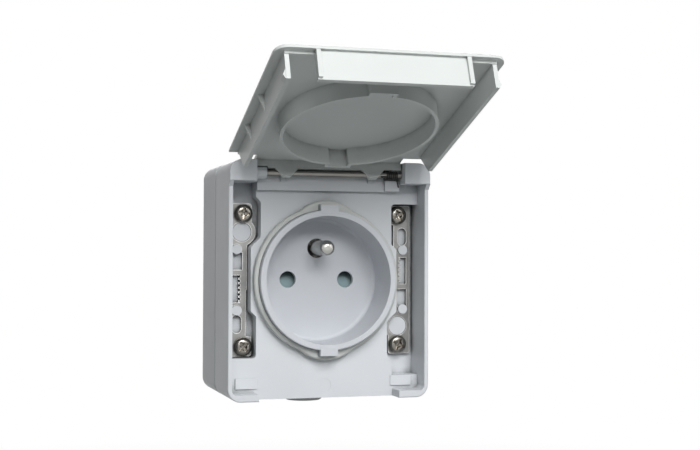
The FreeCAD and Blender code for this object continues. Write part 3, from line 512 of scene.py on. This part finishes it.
def worked_metal(name, light, dark, metallic=1.0, roughness=0.35, stretch=(1.0, 1.0, 0.04),
                 line_depth=0.000004, crevice_shade=(0.05, 0.045, 0.035), crevice_shade_share=0.8, reach=0.0012, edge_highlight=None):
    """Metal with drawn lines, cloudy plating, painted shade in its corners and, if asked, a painted
    highlight on its edges.
    """
    material, tree, shader = new_material(name)
    shader.inputs["Metallic"].default_value = metallic
    worked = use_group(tree, drawn_group)
    for axis, share in zip("XYZ", stretch):
        worked.inputs["Stretch " + axis].default_value = share
    crevice = use_group(tree, crevice_group)
    crevice.inputs["Reach"].default_value = reach
    tone = add_mix(tree, worked.outputs["Clouds"], dark, light)
    # Painted highlight: sharp edges are lightened towards a bright colour.
    if edge_highlight:
        edge = use_group(tree, edge_group)
        tone = add_mix(tree, edge.outputs["Mask"], tone, edge_highlight)
    # Painted shade: the occlusion mask darkens the colour in corners and gaps.
    share = add_math(tree, "MULTIPLY", crevice.outputs["Mask"], crevice_shade_share)
    link(tree, add_mix(tree, share, tone, crevice_shade), shader.inputs["Base Color"])
    vary_roughness(tree, worked.outputs["Clouds"], roughness, plating_spread, shader)
    add_bump(tree, worked.outputs["Lines"], line_strength, line_depth, shader)
    return material


zinc_plate = worked_metal("zinc_plate", zinc_light, zinc_dark, metallic=0.75, roughness=0.42,
                          edge_highlight=zinc_edge_highlight)
for side in ("left", "right"):
    strip = softened("support_strip_" + side, "stamped_strip_" + side, radius=strip_edge_radius)
    strip.data.materials.append(zinc_plate)
    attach(strip, "case")

# Frame screws
# Four nickel-plated steel screws with domed pan heads and cross recesses. They clamp the strips and hold
# the casing's halves together, and each has stopped at its own turn.
head_radius = 0.0029
head_height = 0.0024
head_dome = 0.62 * head_height
head_sides = 48
shank_radius = 0.0017
shank_sides = 24
arm_length = 0.0037
arm_width = 0.00085
arm_height = 0.0026
arm_turn = 0.35
centre_top_radius = 0.00125
centre_tip_radius = 0.0004
centre_height = 0.0018
centre_sunk = 0.0007
screw_edge_radius = 0.00012
screw_edge_angle = math.radians(35)
screw_turns = (0.3, 1.1, 0.75, 0.1)

# Places from the solids, whose facets fall a little short of their round edges: the last digit is 0.1 mm
place_digits = 4
screws_low, screws_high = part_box("frame_screws")
screw_x = round(screws_high[0] - head_radius, place_digits)
screw_z = round(screws_high[2] - head_radius, place_digits)
screw_seat = round(screws_low[1] + head_height, place_digits)
shank_length = round(screws_high[1] - screw_seat, place_digits)


def apply_modifier(piece, modifier):
    """Applies one modifier of a piece."""
    make_active(piece)
    bpy.ops.object.modifier_apply(modifier=modifier.name)


def cut_with(piece, cutter):
    """Cuts one mesh out of another and deletes the cutter."""
    cut = piece.modifiers.new("cut", "BOOLEAN")
    cut.operation = "DIFFERENCE"
    cut.solver = "EXACT"
    cut.object = cutter
    apply_modifier(piece, cut)
    bpy.data.objects.remove(cutter, do_unlink=True)


def settle(piece):
    """Puts a finished piece's place, turn and size into its mesh."""
    make_active(piece)
    bpy.ops.object.transform_apply(location=True, rotation=True, scale=True)


def make_pan_head():
    """A domed pan head towards +Z, with its seat at the origin."""
    deselect_all()
    bpy.ops.mesh.primitive_cylinder_add(vertices=head_sides, radius=head_radius, depth=head_height,
                                        location=(0, 0, head_height / 2))
    head = bpy.context.object
    settle(head)
    bpy.ops.object.mode_set(mode="EDIT")
    bpy.ops.mesh.select_mode(type="EDGE")
    bpy.ops.mesh.select_all(action="DESELECT")
    bpy.ops.object.mode_set(mode="OBJECT")
    for edge in head.data.edges:
        edge.select = all(head.data.vertices[v].co.z > head_height / 2 for v in edge.vertices)
    bpy.ops.object.mode_set(mode="EDIT")
    bpy.ops.mesh.bevel(offset=head_dome, segments=6, profile=0.5, affect="EDGES")
    bpy.ops.object.mode_set(mode="OBJECT")
    return head


def make_recess_cutters():
    """The two crossed arms and the pointed centre of a cross recess."""
    cutters = []
    for quarter in (0, math.pi / 2):
        bpy.ops.mesh.primitive_cube_add(size=1, location=(0, 0, head_height),
                                        rotation=(0, 0, quarter + arm_turn))
        arm = bpy.context.object
        arm.scale = (arm_length, arm_width, arm_height)
        cutters.append(arm)
    bpy.ops.mesh.primitive_cone_add(vertices=24, radius1=centre_tip_radius, radius2=centre_top_radius,
                                    depth=centre_height, location=(0, 0, head_height - centre_sunk))
    cutters.append(bpy.context.object)
    return cutters


def make_cross_screw():
    """One pan-head screw, head towards +Z, seat at the origin."""
    screw = make_pan_head()
    deselect_all()
    bpy.ops.mesh.primitive_cylinder_add(vertices=shank_sides, radius=shank_radius, depth=shank_length,
                                        location=(0, 0, -shank_length / 2))
    shank = bpy.context.object
    for cutter in make_recess_cutters():
        settle(cutter)
        cut_with(screw, cutter)
    make_active(screw)
    shank.select_set(True)
    bpy.ops.object.join()
    apply_modifier(screw, round_edges(screw, screw_edge_radius, screw_edge_angle))
    return screw


def place_copies(piece, places, name):
    """Copies a piece made at the origin to each matrix, joins the copies and removes the first."""
    copies = []
    for matrix in places:
        copy = bpy.data.objects.new(name, piece.data.copy())
        copy.data.transform(matrix)
        bpy.context.scene.collection.objects.link(copy)
        copies.append(copy)
    bpy.data.objects.remove(piece, do_unlink=True)
    make_active(copies[0])
    for copy in copies[1:]:
        copy.select_set(True)
    bpy.ops.object.join()
    copies[0].name = name
    bpy.ops.object.shade_smooth_by_angle(angle=screw_edge_angle)
    return copies[0]


nickel = worked_metal("nickel_plate", light=(0.34, 0.325, 0.295), dark=(0.16, 0.15, 0.13), roughness=0.24,
                      stretch=(1.0, 1.0, 1.0), reach=0.0011, crevice_shade=(0.10, 0.075, 0.05))
face_out = Matrix.Rotation(math.pi / 2, 4, "X")
screw_places = [(side * screw_x, level * screw_z) for side in (-1, 1) for level in (-1, 1)]
screw_matrices = []
for (x, z), turn in zip(screw_places, screw_turns):
    screw_matrices.append(Matrix.Translation((x, screw_seat, z)) @ face_out @ Matrix.Rotation(turn, 4, "Z"))
cross_screws = place_copies(make_cross_screw(), screw_matrices, "cross_screws")
cross_screws.data.materials.append(nickel)
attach(cross_screws, "case")
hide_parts("frame_screws")

# Socket insert
# The round well with its ring and two keys, one plastic moulding. It goes through the frame's keyed bore
# until its flange stops behind the face plate.
insert_plastic = moulded_plastic("insert_plastic", colour=(0.60, 0.622, 0.655), crevice_shade=(0.09, 0.10, 0.09),
                                 roughness=0.36, reach=0.003, crevice_shade_share=0.75)
well = softened("socket_insert", "round_well")
well.data.materials.append(insert_plastic)
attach(well, "case")

# Shutter
# A small grey-green moulded slide behind the live holes. It runs in a slot in the mechanism base, and the
# plug's two pins push it down together.
shutter_plastic = moulded_plastic("shutter_plastic", colour=(0.29, 0.40, 0.42), crevice_shade=(0.10, 0.12, 0.12),
                                  roughness=0.5)
paint_node("shutter", shutter_plastic)

# Shutter spring
# A small coil of bright steel wire between the floor of its pocket in the base and the shutter's lower
# edge. It closes up as the shutter goes down.
spring_steel = worked_metal("spring_steel", light=(0.5, 0.5, 0.5), dark=(0.3, 0.3, 0.3), roughness=0.3,
                            stretch=(1.0, 1.0, 1.0))
coiled_spring = softened("shutter_spring", "coiled_spring", radius=0)
coiled_spring.data.materials.append(spring_steel)
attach(coiled_spring, "case")
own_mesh(coiled_spring)

# Mechanism base and cover
# The insulating body behind the well and the plate that closes its chambers, both moulded in a hard cream
# plastic. Two screws hold the body to the front frame.
cream_plastic = moulded_plastic("cream_plastic", colour=(0.62, 0.60, 0.53), crevice_shade=(0.2, 0.19, 0.16),
                                roughness=0.5)
paint_node("mechanism_base", cream_plastic)
paint_node("base_cover", cream_plastic)

# Earth pin
# Turned from brass and nickel-plated, with a round nose. It stands in the upper part of the well, and its
# tail is riveted to the earth strap.
pin_edge_radius = 0.0001
# The pin's painted shade is near black and at full strength, darkening it where it stands close in the
# well's hole.
pin_plate = worked_metal("pin_plate", light=(0.52, 0.52, 0.49), dark=(0.36, 0.36, 0.34), roughness=0.22,
                         stretch=(0.1, 1.0, 0.1), line_depth=0.000003, reach=0.003,
                         crevice_shade=(0.015, 0.015, 0.013), crevice_shade_share=1.0)
turned_pin = softened("earth_pin", "turned_pin", radius=pin_edge_radius)
turned_pin.data.materials.append(pin_plate)
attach(turned_pin, "case")

# Contacts and terminals
# Two sprung brass sleeves and a brass strap in the mechanism base, with nickel-plated clamping plates and
# slotted screws for the wires. The two screws that fix the base are plated too.
contact_brass = worked_metal("contact_brass", light=(0.72, 0.52, 0.22), dark=(0.5, 0.36, 0.15),
                             roughness=0.32)
for name in ("earth_strap", "live_contact_left", "live_contact_right"):
    paint_node(name, contact_brass)
for name in ("terminal_plates", "terminal_screws", "mechanism_screws"):
    paint_node(name, nickel)

# Lid
# Plate, skirts, front panel and circular wall, one moulding in the casing's plastic with a smoother finish.
# Its lugs turn on the hinge rod, and it stands open by 110 degrees.
lid_plastic = moulded_plastic("lid_plastic", colour=(0.64, 0.67, 0.655), crevice_shade=casing_crevice_shade,
                              roughness=0.34, specular=0.2)
lid_shell = softened("lid", "lid_shell")
lid_shell.data.materials.append(lid_plastic)
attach(lid_shell, "lid")

# Hinge rod
# A drawn steel rod, dull from use. It goes through the hinge blocks and the knuckle of the front frame and
# through the lid's lugs.
rod_steel = worked_metal("rod_steel", light=(0.34, 0.33, 0.31), dark=(0.2, 0.19, 0.175), metallic=0.85,
                         roughness=0.42, stretch=(0.05, 1.0, 1.0))
drawn_rod = softened("hinge_rod", "drawn_rod", radius=0)
drawn_rod.data.materials.append(rod_steel)
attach(drawn_rod, "case")

# Hinge spring
# A torsion spring of black spring wire, wound round the right end of the rod. One leg lies under a lug of
# the lid, the other on its seat in the front frame.
wire_black = worked_metal("wire_black", light=(0.03, 0.03, 0.032), dark=(0.012, 0.012, 0.013),
                          metallic=0.3, roughness=0.4)
wound_spring = softened("hinge_spring", "wound_spring", radius=0)
wound_spring.data.materials.append(wire_black)
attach(wound_spring, "case")

# Lid leg of the spring
# The bent end of the hinge spring on the lid's side, of the same black wire. It turns with the lid and
# presses on its lug.
leg_wire_radius = 0.00026
leg_sides = 12
leg_turn_radius = 0.00112
leg_angle = math.radians(-148)
leg_start_x = 0.0184
leg_length = 0.0019
leg_bend_radius = 0.0005
leg_bend = math.radians(75)
leg_merge_reach = 0.000001
leg_smooth_angle = math.radians(40)
lid_hinge = next(joint for joint in frame["joints"] if joint["name"] == "lid_hinge")
hinge_y, hinge_z = lid_hinge["pos_m"][1:]
leg_y = hinge_y + leg_turn_radius * math.cos(leg_angle)
leg_z = hinge_z + leg_turn_radius * math.sin(leg_angle)
bend_centre = (leg_start_x - leg_length, leg_y, leg_z - leg_bend_radius)

deselect_all()
bpy.ops.mesh.primitive_circle_add(vertices=leg_sides, radius=leg_wire_radius, fill_type="NGON",
                                  location=(leg_start_x, leg_y, leg_z), rotation=(0, math.pi / 2, 0))
lid_leg = bpy.context.object
lid_leg.name = "spring_lid_leg"
settle(lid_leg)
bpy.ops.object.mode_set(mode="EDIT")
bpy.ops.mesh.select_all(action="SELECT")
bpy.ops.mesh.extrude_region_move(TRANSFORM_OT_translate={"value": (-leg_length, 0, 0)})
bpy.ops.mesh.spin(steps=6, angle=leg_bend, center=bend_centre, axis=(0, -1, 0))
bpy.ops.mesh.select_all(action="SELECT")
bpy.ops.mesh.remove_doubles(threshold=leg_merge_reach)
bpy.ops.mesh.normals_make_consistent(inside=False)
bpy.ops.object.mode_set(mode="OBJECT")
bpy.ops.object.shade_smooth_by_angle(angle=leg_smooth_angle)
lid_leg.data.materials.append(wire_black)
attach(lid_leg, "lid")
